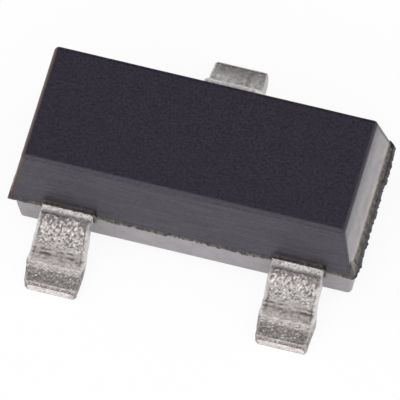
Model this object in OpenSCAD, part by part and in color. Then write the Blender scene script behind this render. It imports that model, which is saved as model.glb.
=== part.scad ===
// Schottky diode in a three-lead surface-mount package, in millimetres.
// The origin is on the board under the middle of the part. X runs along the body,
// the side with two leads is -Y, the side with one lead is +Y, and Z is up.

/* [Moulded body] */
// Length of the body at its parting line
body_length = 2.83; // [2.74:0.01:2.96]
// Width of the body at its parting line
body_width = 1.26; // [1.20:0.01:1.36]
// Height of the top face above the board
body_top = 1.00; // [0.96:0.01:1.10]
// Gap between the board and the underside of the body
standoff = 0.05; // [0.02:0.01:0.10]
// Height of the parting line above the board
parting_height = 0.46; // [0.44:0.005:0.50]
// Draft of the two ends of the upper half, in degrees
upper_end_draft = 8.7; // [6:0.1:11]
// Draft of the two long sides of the upper half, in degrees
upper_side_draft = 11.8; // [8:0.1:14]
// Draft of the two ends of the lower half, in degrees
lower_end_draft = 4; // [2:0.5:8]
// Draft of the two long sides of the lower half, in degrees
lower_side_draft = 6; // [3:0.5:9]
// How far the lower half steps in under the rim of the upper half
rim_step = 0.012; // [0.004:0.002:0.02]
// How far the upper half sits towards -X of the lower half, as the mould halves didn't quite line up
mould_offset = 0.02; // [0:0.005:0.025]
// Radius of the body's upright corners at the parting line
corner_radius = 0.03; // [0.02:0.01:0.08]
// Radius of the edges round the top and bottom faces
edge_radius = 0.04; // [0.02:0.01:0.06]

/* [Mould flash] */
// Thickness of the thin skin that squeezed out between the mould halves
flash_thickness = 0.05; // [0.03:0.01:0.08]
// How far the flash stands out from the two ends, on average
end_flash = 0.030; // [0.026:0.002:0.036]
// The furthest the flash stands out from either end, where it was trimmed
end_flash_limit = 0.038; // [0.036:0.002:0.05]
// How far the flash stands out from the two long sides, on average
side_flash = 0.016; // [0.008:0.002:0.03]
// Extra flash round each lead, where it leaves the body
lead_flash = 0.010; // [0.006:0.002:0.04]
// How far resin crept out over the root of each lead
bleed_length = 0.02; // [0.01:0.005:0.05]
// Thickness of the resin on the upper and lower faces of each root
bleed_skin = 0.010; // [0.006:0.002:0.02]
// Thickness of the resin at the two edges of each root
bleed_side = 0.014; // [0.008:0.002:0.04]

/* [Leads] */
// Distance between the two leads on the front side, centre to centre
lead_pitch = 1.90; // [1.80:0.02:1.96]
// Width of each lead
lead_width = 0.42; // [0.32:0.01:0.48]
// Thickness of the strip that the leads are stamped from
lead_thickness = 0.11; // [0.09:0.01:0.13]
// Distance across the tips of opposite leads
tip_span = 2.33; // [2.30:0.01:2.60]
// Radius left on the long edges of a lead by the stamping
stamped_edge_radius = 0.018; // [0.008:0.002:0.03]
// Level length of lead between the body and its first bend
shoulder_length = 0.05; // [0.03:0.01:0.08]
// Slope of the steep part of a lead, in degrees below level
riser_angle = 64; // [58:1:74]
// Inner radius of the bend under the shoulder
shoulder_bend_radius = 0.06; // [0.05:0.01:0.10]
// Inner radius of the bend above the foot
foot_bend_radius = 0.06; // [0.04:0.01:0.07]

/* [Inside the body] */
// Width of the pad that carries the chip
paddle_width = 1.20; // [0.90:0.02:1.30]
// Depth of the pad that carries the chip
paddle_depth = 0.48; // [0.44:0.01:0.50]
// Gap between the pad and the two posts in front of it
frame_gap = 0.12; // [0.10:0.01:0.13]
// Side of the square silicon chip
die_size = 0.34; // [0.26:0.01:0.38]
// Thickness of the silicon chip
die_thickness = 0.14; // [0.10:0.01:0.16]
// Thickness of the solder under the chip
attach_thickness = 0.02; // [0.016:0.002:0.03]
// How far the solder shows round the chip
attach_border = 0.03; // [0.01:0.005:0.04]
// Side of the metal contact on top of the chip
contact_size = 0.24; // [0.18:0.01:0.25]
// Thickness of the metal contact on top of the chip
contact_thickness = 0.014; // [0.012:0.002:0.02]
// Diameter of the bond wire
wire_diameter = 0.04; // [0.03:0.005:0.05]
// Radius of the bend at the top of the wire's loop
loop_radius = 0.08; // [0.06:0.01:0.09]

/* [Hidden] */

curve_facets = 64;
hull_facets = 32;
parting_land = 0.012;
resin_colour = [0.20, 0.19, 0.23];
tin_colour = [0.74, 0.73, 0.71];
solder_colour = [0.60, 0.60, 0.62];
silicon_colour = [0.36, 0.38, 0.42];
contact_colour = [0.86, 0.86, 0.88];
gold_colour = [0.93, 0.74, 0.32];

// The strip is centred on the parting line
lead_bottom = parting_height - lead_thickness / 2;
lead_top = parting_height + lead_thickness / 2;

// Each lead starts a little way inside the body, at its neck's outer end
lead_anchor = 0.10;
neck_end = body_width / 2 - lead_anchor;

// The straight part of the riser takes up the height that the two bends leave
bend_drop = (shoulder_bend_radius + foot_bend_radius + lead_thickness) * (1 - cos(riser_angle));
riser_length = (lead_bottom - bend_drop) / sin(riser_angle);
bend_run = (shoulder_bend_radius + foot_bend_radius + lead_thickness) * sin(riser_angle);
foot_start = body_width / 2 + shoulder_length + bend_run + riser_length * cos(riser_angle);
foot_length = tip_span / 2 - foot_start;

// Plan of the lead frame inside the body
neck_length = 0.12;
notch_radius = 0.035;
paddle_back = neck_end - neck_length;
paddle_front = paddle_back - paddle_depth;
post_back = paddle_front - frame_gap;
post_front = -neck_end + 0.05;
post_wing = 0.26;

// Chip and bond wire
die_centre = [-0.16, (paddle_back + paddle_front) / 2];
bond_centre = [-lead_pitch / 2 + lead_width / 2, (post_front + post_back) / 2];
die_bottom = lead_top + attach_thickness;
die_top = die_bottom + die_thickness;
contact_top = die_top + contact_thickness;
contact_corner = 0.03;
wire_radius = wire_diameter / 2;
ball_radius = wire_diameter * 1.25;
ball_height = 0.022;
ball_cone = 0.014;
wire_rise = 0.05;
landing_radius = 0.10;
stitch_thickness = 0.014;
stitch_width = 0.09;
stitch_length = 0.09;
stitch_overlap = 0.008;

// The wire's slope is the line that touches both of its bends from opposite sides,
// rounded to a hundredth of a degree
wire_run = norm(bond_centre - die_centre);
wire_heading = atan2(bond_centre.y - die_centre.y, bond_centre.x - die_centre.x);
loop_centre_z = contact_top + ball_height + ball_cone + wire_rise;
landing_z = lead_top + stitch_thickness + wire_radius - stitch_overlap;
bends_apart = wire_run - stitch_length / 2 - loop_radius;
bends_drop = loop_centre_z - landing_z - landing_radius;
bends_span = norm([bends_apart, bends_drop]);
bends_sum = loop_radius + landing_radius;
touching_slope = atan2(bends_drop, bends_apart) + asin(bends_sum / bends_span);
wire_slope = round(100 * touching_slope) / 100;
wire_slant = sqrt(bends_span * bends_span - bends_sum * bends_sum);

// Ripple of a torn edge, between about -1 and 1, where s is the distance along it
function ripple(s) = 0.5 * sin(1150 * s + 40) + 0.3 * sin(2630 * s) + 0.2 * sin(4210 * s + 75);

// 1 beside a lead centred at x = lead, falling to 0 a short way from it
function beside(x, lead) = let (away = abs(x - lead) - lead_width / 2 - 0.02)
    away <= 0 ? 1 : away >= 0.08 ? 0 : (1 + cos(180 * away / 0.08)) / 2;

// Reach of the flash along the front, along the back, and at an end
function front_reach(x) = side_flash * (1 + 0.7 * ripple(x))
    + lead_flash * max(beside(x, -lead_pitch / 2), beside(x, lead_pitch / 2));
function back_reach(x) = side_flash * (1 + 0.7 * ripple(x + 3)) + lead_flash * beside(x, 0);
function end_reach(y, phase) = end_flash * (1 + 0.22 * ripple(y + phase));

// One half of the body, from its parting line at z = 0 up to its flat face
module drafted_half(height, end_draft, side_draft, step) {
    half_length = body_length / 2 - step;
    half_width = body_width / 2 - step;
    face_x = half_length - (height - parting_land) * tan(end_draft);
    face_y = half_width - (height - parting_land) * tan(side_draft);
    // A ball that touches the flat face and a drafted side sits this far inside their edge
    ball_x = face_x - edge_radius * (1 - sin(end_draft)) / cos(end_draft);
    ball_y = face_y - edge_radius * (1 - sin(side_draft)) / cos(side_draft);
    hull() {
        for (sx = [-1, 1], sy = [-1, 1]) {
            translate([sx * (half_length - corner_radius), sy * (half_width - corner_radius), 0])
                cylinder(r = corner_radius, h = parting_land, $fn = hull_facets);
            translate([sx * ball_x, sy * ball_y, height - edge_radius])
                sphere(r = edge_radius, $fn = hull_facets);
        }
    }
}

// Thin skin of resin that squeezed out along the parting line, torn at its edge
module flash() {
    step = 0.05;
    x_end = body_length / 2 - corner_radius / 2;
    y_end = body_width / 2 - corner_radius / 2;
    half_length = body_length / 2;
    half_width = body_width / 2;
    front = [for (x = [-x_end : step : x_end]) [x, -half_width - front_reach(x)]];
    right = [for (y = [-y_end : step : y_end]) [half_length + end_reach(y, 0), y]];
    back = [for (x = [x_end : -step : -x_end]) [x, half_width + back_reach(x)]];
    left = [for (y = [y_end : -step : -y_end]) [-half_length - end_reach(y, 5), y]];
    trimmed_length = body_length + 2 * end_flash_limit;
    translate([0, 0, parting_height - flash_thickness / 2])
        linear_extrude(flash_thickness)
            intersection() {
                polygon(concat(front, right, back, left));
                square([trimmed_length, 2 * body_width], center = true);
            }
}

// Section across a strip: thickness along X from 0, width along Y, with eased edges
module eased_section(thickness, width, r) {
    translate([0, r - width / 2])
        square([thickness, width - 2 * r]);
    translate([r, -width / 2])
        square([thickness - 2 * r, width]);
    for (x = [r, thickness - r], y = [r - width / 2, width / 2 - r])
        translate([x, y])
            circle(r = r, $fn = curve_facets);
}

module strip_section() {
    eased_section(lead_thickness, lead_width, stamped_edge_radius);
}

// A straight length of strip along +Y with its underside at z = 0, then what follows it
module straight(length) {
    rotate([-90, 0, 0])
        rotate([0, 0, -90])
            linear_extrude(length)
                strip_section();
    translate([0, length, 0])
        children();
}

// A downward bend about an axis below the strip, then what follows it
module bend_down(angle, radius) {
    translate([0, 0, -radius]) {
        rotate([0, -90, 0])
            rotate_extrude(angle = angle, $fn = curve_facets)
                translate([radius, 0])
                    strip_section();
        rotate([-angle, 0, 0])
            translate([0, 0, radius])
                children();
    }
}

// An upward bend about an axis above the strip, then what follows it
module bend_up(angle, radius) {
    translate([0, 0, lead_thickness + radius]) {
        rotate([0, 90, 0])
            rotate_extrude(angle = angle, $fn = curve_facets)
                translate([radius, 0])
                    strip_section();
        rotate([angle, 0, 0])
            translate([0, 0, -lead_thickness - radius])
                children();
    }
}

// The formed end of a lead: shoulder, bend, riser, bend and foot, from one strip
module formed_lead() {
    translate([0, neck_end, lead_bottom])
        straight(lead_anchor + shoulder_length)
            bend_down(riser_angle, shoulder_bend_radius)
                straight(riser_length)
                    bend_up(riser_angle, foot_bend_radius)
                        straight(foot_length);
}

// Plan of the neck between a lead and its inner end, notched so that the resin holds it
module notched_neck() {
    difference() {
        translate([-lead_width / 2, neck_end - neck_length])
            square([lead_width, neck_length]);
        for (side = [-1, 1])
            translate([side * lead_width / 2, neck_end - neck_length / 2])
                circle(r = notch_radius, $fn = curve_facets);
    }
}

// A front lead and its inner post. The post's wing reaches towards the middle of the body
module front_lead(side) {
    post_depth = post_back - post_front;
    translate([side * lead_pitch / 2, 0, 0]) {
        rotate([0, 0, 180])
            formed_lead();
        translate([0, 0, lead_bottom])
            linear_extrude(lead_thickness) {
                rotate(180)
                    notched_neck();
                translate([-lead_width / 2 - max(side, 0) * post_wing, post_front])
                    square([lead_width + post_wing, post_depth]);
            }
    }
}

module anode_lead() {
    color(tin_colour)
        front_lead(-1);
}

module unconnected_lead() {
    color(tin_colour)
        front_lead(1);
}

// The back lead ends in the pad that carries the chip
module cathode_lead() {
    color(tin_colour) {
        formed_lead();
        translate([0, 0, lead_bottom])
            linear_extrude(lead_thickness) {
                notched_neck();
                translate([-paddle_width / 2, paddle_front])
                    square([paddle_width, paddle_depth]);
            }
    }
}

module die_attach() {
    side = die_size + 2 * attach_border;
    color(solder_colour)
        translate([die_centre.x - side / 2, die_centre.y - side / 2, lead_top])
            cube([side, side, attach_thickness]);
}

module silicon_die() {
    color(silicon_colour)
        translate([die_centre.x - die_size / 2, die_centre.y - die_size / 2, die_bottom])
            cube([die_size, die_size, die_thickness]);
}

// The metal that forms the junction with the silicon below it
module anode_contact() {
    flat = contact_size - 2 * contact_corner;
    color(contact_colour)
        translate([die_centre.x, die_centre.y, die_top])
            linear_extrude(contact_thickness) {
                square([contact_size, flat], center = true);
                square([flat, contact_size], center = true);
                for (sx = [-1, 1], sy = [-1, 1])
                    translate([sx * flat / 2, sy * flat / 2])
                        circle(r = contact_corner, $fn = curve_facets);
            }
}

// A straight length of wire along +Z, then what follows it
module wire_straight(length) {
    cylinder(r = wire_radius, h = length, $fn = hull_facets);
    translate([0, 0, length])
        children();
}

// A bend of the wire towards +X, then what follows it
module wire_turn(angle, radius) {
    translate([radius, 0, 0]) {
        rotate([90, 0, 180])
            rotate_extrude(angle = angle, $fn = curve_facets)
                translate([radius, 0])
                    circle(r = wire_radius, $fn = hull_facets);
        rotate([0, angle, 0])
            translate([-radius, 0, 0])
                children();
    }
}

// A bend of the wire towards -X, then what follows it
module wire_turn_back(angle, radius) {
    rotate([0, 0, 180])
        wire_turn(angle, radius)
            rotate([0, 0, 180])
                children();
}

// One wire: a ball on the contact, a loop, and a flattened stitch on the anode's post
module bond_wire() {
    color(gold_colour)
        translate([die_centre.x, die_centre.y, 0])
            rotate([0, 0, wire_heading]) {
                translate([0, 0, contact_top]) {
                    cylinder(r = ball_radius, h = ball_height, $fn = curve_facets);
                    translate([0, 0, ball_height])
                        cylinder(r1 = ball_radius, r2 = wire_radius, h = ball_cone, $fn = curve_facets);
                }
                translate([0, 0, contact_top + ball_height + ball_cone])
                    wire_straight(wire_rise)
                        wire_turn(90 + wire_slope, loop_radius)
                            wire_straight(wire_slant)
                                wire_turn_back(wire_slope, landing_radius)
                                    wire_straight(stitch_length / 2);
                translate([wire_run, 0, lead_top])
                    linear_extrude(stitch_thickness) {
                        square([stitch_length, stitch_width], center = true);
                        translate([stitch_length / 2, 0])
                            circle(r = stitch_width / 2, $fn = curve_facets);
                    }
            }
}

// Thin sleeve of resin that crept out round the root of the back lead
module root_bleed() {
    root_length = 0.05;
    translate([0, body_width / 2 - root_length, lead_bottom - bleed_skin])
        rotate([-90, 0, 0])
            rotate([0, 0, -90])
                linear_extrude(root_length + bleed_length)
                    eased_section(lead_thickness + 2 * bleed_skin, lead_width + 2 * bleed_side,
                                  stamped_edge_radius + bleed_skin);
}

// The moulded resin, which fills every space between the pieces that it holds
module body() {
    color(resin_colour)
        difference() {
            union() {
                translate([-mould_offset, 0, parting_height])
                    drafted_half(body_top - parting_height, upper_end_draft, upper_side_draft, 0);
                translate([0, 0, parting_height])
                    mirror([0, 0, 1])
                        drafted_half(parting_height - standoff, lower_end_draft,
                                     lower_side_draft, rim_step);
                flash();
                root_bleed();
                for (side = [-1, 1])
                    translate([side * lead_pitch / 2, 0, 0])
                        rotate([0, 0, 180])
                            root_bleed();
            }
            anode_lead();
            unconnected_lead();
            cathode_lead();
            die_attach();
            silicon_die();
            anode_contact();
            bond_wire();
        }
}

body();
anode_lead();
unconnected_lead();
cathode_lead();
die_attach();
silicon_die();
anode_contact();
bond_wire();
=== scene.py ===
import math

import bpy
import numpy as np
from mathutils import Matrix, Vector, noise


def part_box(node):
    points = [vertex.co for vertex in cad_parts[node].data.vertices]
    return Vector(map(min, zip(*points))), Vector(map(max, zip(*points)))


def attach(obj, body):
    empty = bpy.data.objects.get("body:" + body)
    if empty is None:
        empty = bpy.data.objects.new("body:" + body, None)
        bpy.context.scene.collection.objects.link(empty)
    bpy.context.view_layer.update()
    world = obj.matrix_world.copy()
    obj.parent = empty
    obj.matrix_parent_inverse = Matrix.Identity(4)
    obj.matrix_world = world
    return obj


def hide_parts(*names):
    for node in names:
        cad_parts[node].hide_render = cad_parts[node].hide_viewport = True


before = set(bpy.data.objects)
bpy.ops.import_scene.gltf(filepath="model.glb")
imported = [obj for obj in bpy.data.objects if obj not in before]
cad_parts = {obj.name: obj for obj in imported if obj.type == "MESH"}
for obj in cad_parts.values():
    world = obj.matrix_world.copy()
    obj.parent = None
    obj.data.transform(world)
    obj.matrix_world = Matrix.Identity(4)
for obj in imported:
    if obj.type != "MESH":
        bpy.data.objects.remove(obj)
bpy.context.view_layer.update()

# Lengths in this script are in millimetres until a mesh is made
MM = 0.001


# Sizes read from the frame

def box_mm(node):
    """Lowest and highest corner of a CAD node, in millimetres."""
    low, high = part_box(node)
    return np.array(low) / MM, np.array(high) / MM


body_low, body_high = box_mm("body")
front_low, front_high = box_mm("anode_lead")
other_low, other_high = box_mm("unconnected_lead")

# The body at its parting line, its drafts and its rounded edges
BODY_LENGTH = 2.83
BODY_WIDTH = 1.26
END_DRAFT = math.radians(8.7)
SIDE_DRAFT = math.radians(11.8)
LOWER_END_DRAFT = math.radians(4)
LOWER_SIDE_DRAFT = math.radians(6)
MOULD_OFFSET = 0.02
RIM_STEP = 0.012
CORNER_RADIUS = 0.03
EDGE_RADIUS = 0.04
THINNEST_CORNER = 0.004

# Flash: its thickness at the root and at the torn edge, and how far out it reaches
FLASH_THICKNESS = 0.05
FLASH_EDGE = 0.020
SIDE_FLASH = 0.016
END_FLASH = 0.027
END_FLASH_LIMIT = 0.0345
SHORTEST_FLASH = 0.001

# How far the flash's root climbs the right end, its front corner and the front left corner
END_CLIMB = 0.045
CORNER_CLIMB = 0.09
LEFT_CLIMB = 0.04

# Flash of the left end: its reach, from where on it grows to the front corner, and by how much
LEFT_FLASH = 0.022
LEFT_GROWS_FROM = 0.05
LEFT_GROWTH = 0.010

# Where along the right end its flash stops and thins out, and its climb stops and rises again
FLASH_STOPS = (0.585, 0.622)
FLASH_THINS = (-0.54, -0.63)
CLIMB_STOPS = (0.52, 0.61)
CORNER_CLIMBS = (-0.50, -0.63)

# Resin bled along the leads: out along them, over them and beside them
BLEED_LENGTH = 0.018
BLEED_SKIN = 0.010
BLEED_SIDE = 0.014

# Painted shadow round a lead's root: beside it and over the zone's middle, and a strip of painted shadow
# beside and under it
ROOT_MIDDLE = 0.05
ROOT_BESIDE = (-0.045, 0.024)
ROOT_OVER = (-0.010, 0.088)
SIDE_SHADOW_BESIDE = (0.006, 0.018)
SIDE_SHADOW_UNDER = (0.17, 0.25)

# Leads: the strip's section, its bends, and its inner end
LEAD_WIDTH = 0.42
LEAD_THICKNESS = 0.11
LEAD_ANCHOR = 0.10
SHOULDER = 0.05
RISER_ANGLE = math.radians(64)
SHOULDER_BEND = 0.06
FOOT_BEND = 0.06
NECK_LENGTH = 0.12
NOTCH_RADIUS = 0.035
POST_GAP = 0.05
PADDLE_WIDTH = 1.20
PADDLE_DEPTH = 0.48

TOP = body_high[2]
BOTTOM = body_low[2]
LEAD_TOP = front_high[2]
LEAD_BOTTOM = LEAD_TOP - LEAD_THICKNESS
PARTING = (LEAD_TOP + LEAD_BOTTOM) / 2
TIP = -front_low[1]
HALF_LENGTH = BODY_LENGTH / 2
HALF_WIDTH = BODY_WIDTH / 2
HALF_LEAD = LEAD_WIDTH / 2
FRONT_X = front_low[0] + HALF_LEAD
LEAD_XY = {"anode_lead": (FRONT_X, -1), "unconnected_lead": (-FRONT_X, -1), "cathode_lead": (0.0, 1)}


# Camera

CAMERA_AZIMUTH = math.radians(17.13)
CAMERA_ELEVATION = math.radians(62.80)
CAMERA_ROLL = math.radians(2.03)
CAMERA_AIM = Vector((0.0346, -0.2277, 0.3829))
CAMERA_DISTANCE = 88.78
CAMERA_CLIP = (1, 1000)
LENS = 1000
SENSOR = 36


def make_camera():
    a, e = CAMERA_AZIMUTH, CAMERA_ELEVATION
    back = Vector((math.sin(a) * math.cos(e), -math.cos(a) * math.cos(e), math.sin(e)))
    data = bpy.data.cameras.new("camera")
    data.lens = LENS
    data.sensor_width = SENSOR
    data.clip_start, data.clip_end = (distance * MM for distance in CAMERA_CLIP)
    camera = bpy.data.objects.new("camera", data)
    camera.rotation_mode = "QUATERNION"
    upright = (-back).to_track_quat("-Z", "Y")
    camera.rotation_quaternion = Matrix.Rotation(-CAMERA_ROLL, 3, back).to_quaternion() @ upright
    camera.location = (CAMERA_AIM + back * CAMERA_DISTANCE) * MM
    bpy.context.scene.collection.objects.link(camera)
    bpy.context.scene.camera = camera


# Noise and small helpers

def noise_field(points, per_mm, seed, octaves=1, roughness=0.5):
    """Smooth noise from about -1 to 1 at each point, with per_mm features to the millimetre."""
    shift = Vector((17.3 * seed, 5.1 * seed, 9.7 * seed))
    total = np.zeros(len(points))
    weight, freq, norm = 1.0, per_mm, 0.0
    for _ in range(octaves):
        total += weight * np.array([noise.noise(Vector(p) * freq + shift) for p in points.tolist()])
        norm += weight
        weight *= roughness
        freq *= 2.03
    return total / norm


def rising(low, high, x):
    """0 up to low, 1 from high on, and smooth between; it falls where low is above high."""
    t = np.clip((x - low) / (high - low), 0, 1)
    return t * t * (3 - 2 * t)


def falling(low, high, x):
    return 1 - rising(low, high, x)


def make_object(name, verts, faces, smooth=True):
    """A mesh object from vertices in mm."""
    mesh = bpy.data.meshes.new(name)
    mesh.from_pydata((np.asarray(verts) * MM).tolist(), [], faces)
    mesh.update()
    if smooth:
        mesh.shade_smooth()
    obj = bpy.data.objects.new(name, mesh)
    bpy.context.scene.collection.objects.link(obj)
    return obj


def store(obj, name, values):
    """Keeps one number per vertex, for the materials."""
    attribute = obj.data.attributes.new(name, "FLOAT", "POINT")
    attribute.data.foreach_set("value", np.asarray(values, np.float32))


def vertex_normals(obj):
    out = np.zeros(len(obj.data.vertices) * 3, np.float32)
    obj.data.vertex_normals.foreach_get("vector", out)
    return out.reshape(-1, 3).astype(float)


def grid_faces(columns, rows):
    """Quads over closed rows of columns vertices each."""
    faces = []
    for j in range(rows - 1):
        for i in range(columns):
            a, b = j * columns + i, j * columns + (i + 1) % columns
            faces.append((a, b, b + columns, a + columns))
    return faces


class Shell:
    """Vertices and faces of a piece, with named shades that its material reads at each vertex."""

    def __init__(self, *names):
        self.verts = np.zeros((0, 3))
        self.faces = []
        self.shades = {name: np.zeros(0) for name in names}

    def add(self, verts, **shades):
        """Adds vertices and gives the number of the first one; a shade that isn't given is 0."""
        start = len(self.verts)
        self.verts = np.concatenate([self.verts, verts])
        for name, values in self.shades.items():
            added = np.broadcast_to(shades.get(name, 0.0), (len(verts),))
            self.shades[name] = np.concatenate([values, added])
        return start

    def make(self, name):
        obj = make_object(name, self.verts, self.faces)
        for shade, values in self.shades.items():
            store(obj, shade, values)
        return obj


# Moulded body

SIDE_STEPS = 216
END_STEPS = 92
ARC_STEPS = 6
COLUMNS = SIDE_STEPS + 2 * ARC_STEPS
ROWS = END_STEPS + 2 * ARC_STEPS
LOW_EDGE_RINGS = 6
LOW_RINGS = 16
HIGH_RINGS = 24
HIGH_EDGE_RINGS = 7

# A step over the parting line, so that a height counts as the upper half's
JUST_ABOVE = 1e-6


def rim_directions():
    """For each point round the body: which way it lies, and its outward direction."""
    ways, outward = [], []

    def arc(way, start):
        for k in range(ARC_STEPS):
            angle = math.radians(start + 45 * k / ARC_STEPS)
            ways.append(way)
            outward.append((math.cos(angle), math.sin(angle)))

    sides = (((0, -1), SIDE_STEPS), ((1, 0), END_STEPS), ((0, 1), SIDE_STEPS), ((-1, 0), END_STEPS))
    for number, ((nx, ny), steps) in enumerate(sides):
        facing = 270 + 90 * number
        arc((nx + ny, ny - nx), facing - 45)
        for k in range(steps):
            u = -1 + 2 * k / steps
            ways.append((nx - u * ny, ny + u * nx))
            outward.append((nx, ny))
        arc((nx - ny, ny + nx), facing)
    return np.array(ways, float), np.array(outward, float)


def half_sizes(z):
    """Half length, half width and corner radius of the body at each height z."""
    upper = z >= PARTING
    step = np.where(upper, 0, RIM_STEP)
    rise = np.abs(z - PARTING)
    height = np.where(upper, TOP - PARTING, PARTING - BOTTOM)
    ball_z = height - EDGE_RADIUS
    up = np.clip((rise - ball_z) / EDGE_RADIUS, -1, 1)
    ball = EDGE_RADIUS * np.sqrt(np.clip(1 - up * up, 0, 1))
    sizes = []
    for half, upper_draft, lower_draft in (
        (HALF_LENGTH, END_DRAFT, LOWER_END_DRAFT),
        (HALF_WIDTH, SIDE_DRAFT, LOWER_SIDE_DRAFT),
    ):
        draft = np.where(upper, upper_draft, lower_draft)
        flat = half - step - rise * np.tan(draft)
        face = half - step - height * np.tan(draft)
        centre = face - EDGE_RADIUS * (1 - np.sin(draft)) / np.cos(draft)
        sizes.append(np.where(up > np.sin(draft), centre + ball, flat))
    share = np.clip(rise / ball_z, 0, 1)
    radius = CORNER_RADIUS + (EDGE_RADIUS - CORNER_RADIUS) * share
    radius = np.where(up > 0, ball, radius)
    return sizes[0], sizes[1], np.maximum(radius, THINNEST_CORNER)


class Rim:
    """The points round the body at the parting line, and the flash and bleed at each of them."""

    def __init__(self):
        self.ways, self.outward = rim_directions()
        self.count = len(self.ways)
        self.points = self.at(PARTING)
        self.y = self.points[:, 1]
        self.front, self.right = self.y < 0, self.points[:, 0] > 0
        self.turn = np.abs(self.outward[:, 0])
        self.left_end = self.turn * ~self.right
        self.kept_corner = ~self.right & self.front & (np.abs(self.outward.prod(axis=1)) > 0.01)

        # Share of the end's flash, which turns into the side's round the corners
        self.end = np.where(self.right == self.front, self.turn ** 2, np.sqrt(self.turn))
        self.right_end = self.end * self.right
        self.bled = self.beside_leads(0.0, BLEED_SIDE)
        self.by_lead = self.beside_leads(0.01, 0.07)
        self.coarse = self.noise(5, seed=1, octaves=2)
        self.ragged = self.noise(26, seed=2, octaves=3, roughness=0.65)
        self.notched = self.noise(48, seed=8, octaves=2, roughness=0.6)
        self.reach = self.flash_reach()
        self.set_heights()

    def at(self, z, offset=0.0):
        """Points round the body at heights z, moved out from its side by offset."""
        z = np.broadcast_to(np.asarray(z, float), (self.count,))
        hx, hy, radius = half_sizes(z)
        x = self.ways[:, 0] * (hx - radius) + self.outward[:, 0] * (radius + offset)
        y = self.ways[:, 1] * (hy - radius) + self.outward[:, 1] * (radius + offset)
        return np.stack([x - MOULD_OFFSET * (z >= PARTING), y, z], axis=1)

    def noise(self, per_mm, seed, octaves=1, roughness=0.5):
        return noise_field(self.points, per_mm, seed, octaves, roughness)

    def beside_leads(self, full, gone):
        """1 at a lead and as far as full beside it, and 0 from gone on."""
        close = np.zeros(self.count)
        for x, side in LEAD_XY.values():
            away = np.abs(self.points[:, 0] - x) - HALF_LEAD
            here = (self.y * side > 0) & (self.turn ** 2 < 0.5)
            close = np.maximum(close, np.where(here, falling(full, gone, away), 0))
        return close

    def flash_reach(self):
        """How far the flash reaches: rough at the sides, broad and notched at the right end,
        missing at its back corner, and even at the left end, growing to the front corner."""
        at_back_right = ~self.front * rising(HALF_LENGTH - 0.12, HALF_LENGTH - 0.02, self.points[:, 0])
        side = SIDE_FLASH * (0.62 + 0.8 * self.coarse + 1.5 * self.ragged) * (1 - 0.9 * at_back_right)
        grown = rising(LEFT_GROWS_FROM, -HALF_WIDTH, self.y)
        left = LEFT_FLASH + LEFT_GROWTH * grown + 0.004 * self.ragged
        right = END_FLASH * (0.92 + 0.25 * self.coarse + 0.65 * self.ragged + 0.50 * self.notched)
        right = right * (1 - 0.95 * rising(*FLASH_STOPS, self.y))
        right = right * (1 - 0.55 * rising(*FLASH_THINS, self.y))
        reach = side * (1 - self.end) + np.where(self.right, right, left) * self.end
        reach = reach * (1 - 0.6 * self.by_lead)
        reach = reach + self.bled * (BLEED_LENGTH + 0.008 * self.ragged - reach)
        limit = (CORNER_RADIUS + END_FLASH_LIMIT) / np.maximum(self.turn, 0.7) - CORNER_RADIUS
        return np.clip(reach, SHORTEST_FLASH, limit)

    def set_heights(self):
        """Heights of the flash's root and torn edge; at the right end the root climbs the end."""
        lip = self.noise(18, seed=3, octaves=2)
        skin = LEAD_THICKNESS / 2 + BLEED_SKIN - FLASH_THICKNESS / 2
        diagonal = 4 * self.outward.prod(axis=1) ** 2
        thin = (FLASH_THICKNESS - FLASH_EDGE) / 2 * (1 - self.bled) * (1 - self.right_end)
        thin += 0.004 * ~self.right * self.front * np.maximum(self.end, diagonal)
        climb = 0.95 + 0.75 * self.ragged + 0.3 * self.notched - 0.4 * self.y
        climb *= END_CLIMB * self.right_end * falling(*CLIMB_STOPS, self.y)
        climb += CORNER_CLIMB * self.right_end * rising(*CORNER_CLIMBS, self.y)
        climb += LEFT_CLIMB * self.left_end * self.front
        over = 0.006 * lip * (1 - 0.7 * self.bled) + self.bled * (skin + 0.012 * self.ragged)
        top = PARTING + FLASH_THICKNESS / 2 + over
        self.root_low = PARTING - FLASH_THICKNESS / 2 + 0.005 * lip - self.bled * skin
        self.edge_low = self.root_low + thin
        self.edge_top = top - thin - 0.3 * climb
        self.root_top = top - 0.6 * thin + climb

    def flash_ring(self, offset, height, back=0.0):
        """A ring of the flash: back is 0 in line with the lower half, 1 with the upper one."""
        points = self.at(PARTING + JUST_ABOVE, offset)
        size = np.abs(self.outward)
        squarer = np.sign(self.outward) * (np.minimum(1, 2.6 * size) - size)
        base = CORNER_RADIUS * np.clip(offset / 0.015, 0, 1)
        low_offset = np.minimum(offset, 0.6 * SIDE_FLASH)
        out_x = squarer[:, 0] * (base + offset)
        out_y = squarer[:, 1] * (base + low_offset) + self.outward[:, 1] * (low_offset - offset)
        points[:, 0] += np.where(self.kept_corner, out_x, 0) + MOULD_OFFSET * (1 - back)
        points[:, 1] += np.where(self.kept_corner, out_y, 0)
        points[:, 2] = height
        return points


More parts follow.
